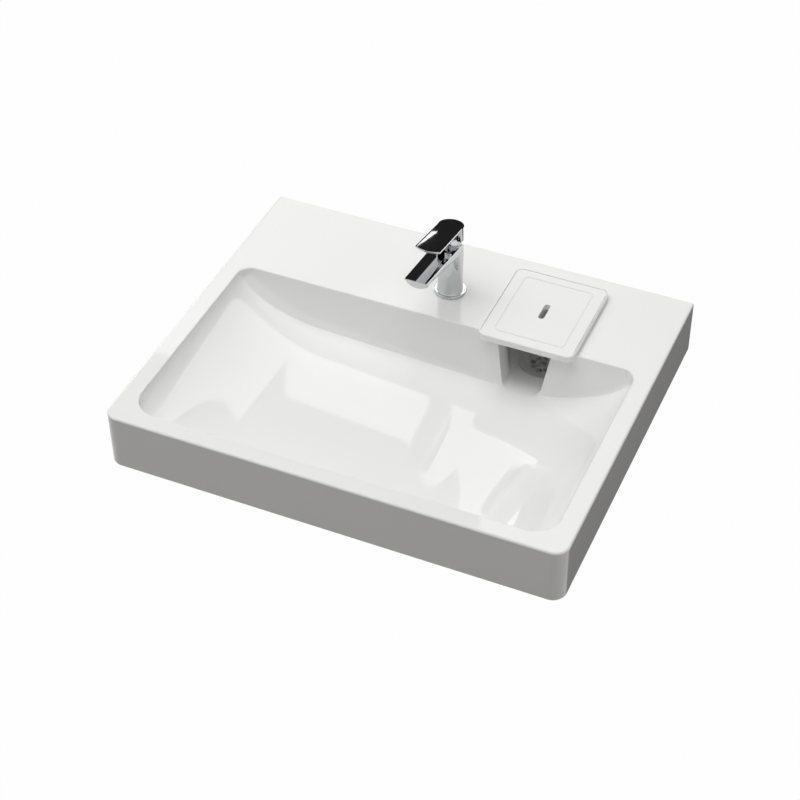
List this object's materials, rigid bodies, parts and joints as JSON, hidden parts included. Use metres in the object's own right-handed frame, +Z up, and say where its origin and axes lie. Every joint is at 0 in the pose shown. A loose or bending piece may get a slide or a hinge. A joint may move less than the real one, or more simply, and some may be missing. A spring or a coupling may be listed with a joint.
{
  "type": "washbasin",
  "caption": "Wide flat ceramic washbasin with a shallow bowl, a single-lever tap on the rear ledge and a lidded drain well at the rear right.",
  "frame": {"origin": "midway between the two wall bolts, on the rear face that meets the wall", "axes": "+X along the wall to the user's right, +Y into the wall, +Z up"},
  "size_m": [0.6, 0.49, 0.2668],
  "materials": {
    "glaze": "gloss",
    "lid": "satin",
    "pad": "matte",
    "sleeve": "matte",
    "sheet": "brushed",
    "steel": "satin",
    "chrome": "polished",
    "brass": "turned",
    "seal": "matte",
    "waste": "moulded",
    "cartridge": "moulded",
    "rotor": "moulded",
    "stem": "ground",
    "screw": "blackened",
    "plug": "gloss",
    "jets": "moulded"
  },
  "bodies": {
    "fixed": {"basin": "glaze", "wall_bolt_sleeves": "sleeve", "waste_strainer": "sheet", "waste_flange_gasket": "seal", "waste_seal": "seal", "waste_body": "waste", "waste_screw": "steel", "tap_base_seal": "seal", "tap_base_ring": "chrome", "tap_body": "chrome", "aerator_housing": "chrome", "aerator_insert": "jets", "aerator_seal": "seal", "cartridge_seals": "seal", "cartridge": "cartridge", "cartridge_nut": "brass", "tap_dome": "chrome", "tap_stud": "steel", "clamp_gasket": "seal", "clamp_plate": "steel", "clamp_nut": "brass"},
    "rotor": {"cartridge_rotor": "rotor", "pivot_pin": "steel"},
    "lever": {"lever_stem": "stem", "tap_lever": "chrome", "lever_grub_screw": "screw", "indicator_plug": "plug"},
    "lid": {"drain_lid": "lid", "lid_pads": "pad"}
  },
  "joints": [
    {"name": "lever_turn", "type": "hinge", "parent": "fixed", "child": "rotor", "pos_m": [-0.002, -0.098, 0.12], "axis": [0, 0, 1], "range_deg": [-45, 45]},
    {"name": "lever_tilt", "type": "hinge", "parent": "rotor", "child": "lever", "pos_m": [-0.002, -0.098, 0.12], "axis": [-1, 0, 0], "range_deg": [0, 22]},
    {"name": "lid_lift", "type": "slide", "parent": "fixed", "child": "lid", "axis": [0, 0, 1], "range_m": [0, 0.12]}
  ]
}
